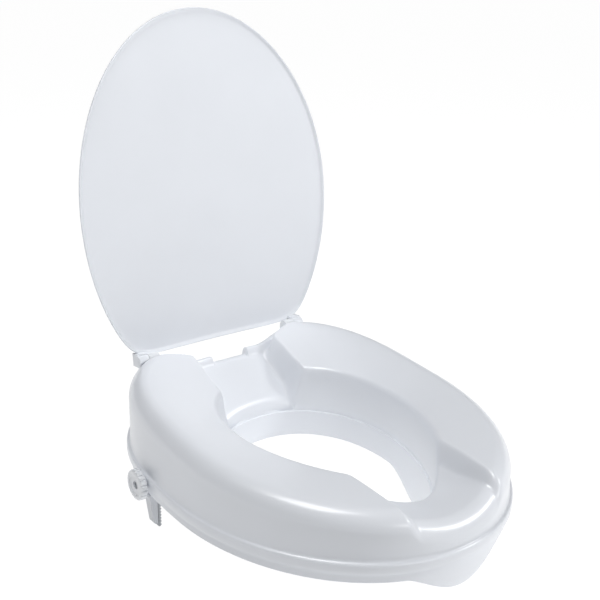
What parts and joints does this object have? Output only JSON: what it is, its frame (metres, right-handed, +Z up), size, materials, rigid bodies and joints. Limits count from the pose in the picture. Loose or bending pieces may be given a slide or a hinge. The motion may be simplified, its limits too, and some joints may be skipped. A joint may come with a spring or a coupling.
{
  "type": "raised toilet seat",
  "caption": "Moulded raised toilet seat with a hinged lid, a front recess, a front tongue and two screw-driven side clamps that grip the bowl.",
  "frame": {"origin": "middle of the object's box, at the height of the feet it stands on", "axes": "+Z up, the user's front towards -Y, the lid's hinge line along X"},
  "size_m": [0.3818, 0.4765, 0.5114],
  "materials": {
    "shell": "glossy white moulded plastic",
    "lid_shell": "glossy white moulded plastic",
    "fitting": "white moulded plastic",
    "clamp_plastic": "satin light grey plastic",
    "grip_rubber": "matt light grey rubber",
    "steel": "satin steel"
  },
  "bodies": {
    "seat": {"seat_body": "shell", "hinge_block_left": "fitting", "hinge_block_right": "fitting", "hinge_pin_left": "steel", "hinge_pin_right": "steel", "hinge_screw_left": "steel", "hinge_screw_right": "steel", "rim_pad_rear_right": "grip_rubber", "rim_pad_rear_left": "grip_rubber", "rim_pad_front_left": "grip_rubber", "rim_pad_front_right": "grip_rubber"},
    "lid": {"lid": "lid_shell"},
    "left_knob": {"clamp_knob_left": "fitting", "clamp_screw_left": "clamp_plastic", "screw_washer_left": "steel", "screw_clip_left": "steel"},
    "left_jaw": {"clamp_nut_left": "steel", "jaw_arm_left": "clamp_plastic", "jaw_strip_left": "grip_rubber"},
    "right_knob": {"clamp_knob_right": "fitting", "clamp_screw_right": "clamp_plastic", "screw_washer_right": "steel", "screw_clip_right": "steel"},
    "right_jaw": {"clamp_nut_right": "steel", "jaw_arm_right": "clamp_plastic", "jaw_strip_right": "grip_rubber"}
  },
  "joints": [
    {"name": "lid_hinge", "type": "hinge", "parent": "seat", "child": "lid", "pos_m": [0, 0.1739, 0.128], "axis": [1, 0, 0], "range_deg": [0, 96.5]},
    {"name": "left_knob_turn", "type": "hinge", "parent": "seat", "child": "left_knob", "pos_m": [-0.18, 0.0479, 0.0545], "axis": [1, 0, 0], "range_deg": [0, 1080]},
    {"name": "left_jaw_slide", "type": "slide", "parent": "seat", "child": "left_jaw", "axis": [1, 0, 0], "range_m": [0, 0.0182]},
    {"name": "right_knob_turn", "type": "hinge", "parent": "seat", "child": "right_knob", "pos_m": [0.18, 0.0479, 0.0545], "axis": [-1, 0, 0], "range_deg": [0, 1080]},
    {"name": "right_jaw_slide", "type": "slide", "parent": "seat", "child": "right_jaw", "axis": [-1, 0, 0], "range_m": [0, 0.0182]}
  ],
  "couplings": [
    {"joint": "left_jaw_slide", "follows": "left_knob_turn", "m_per_rad": 0.00095493},
    {"joint": "right_jaw_slide", "follows": "right_knob_turn", "m_per_rad": 0.00095493}
  ]
}
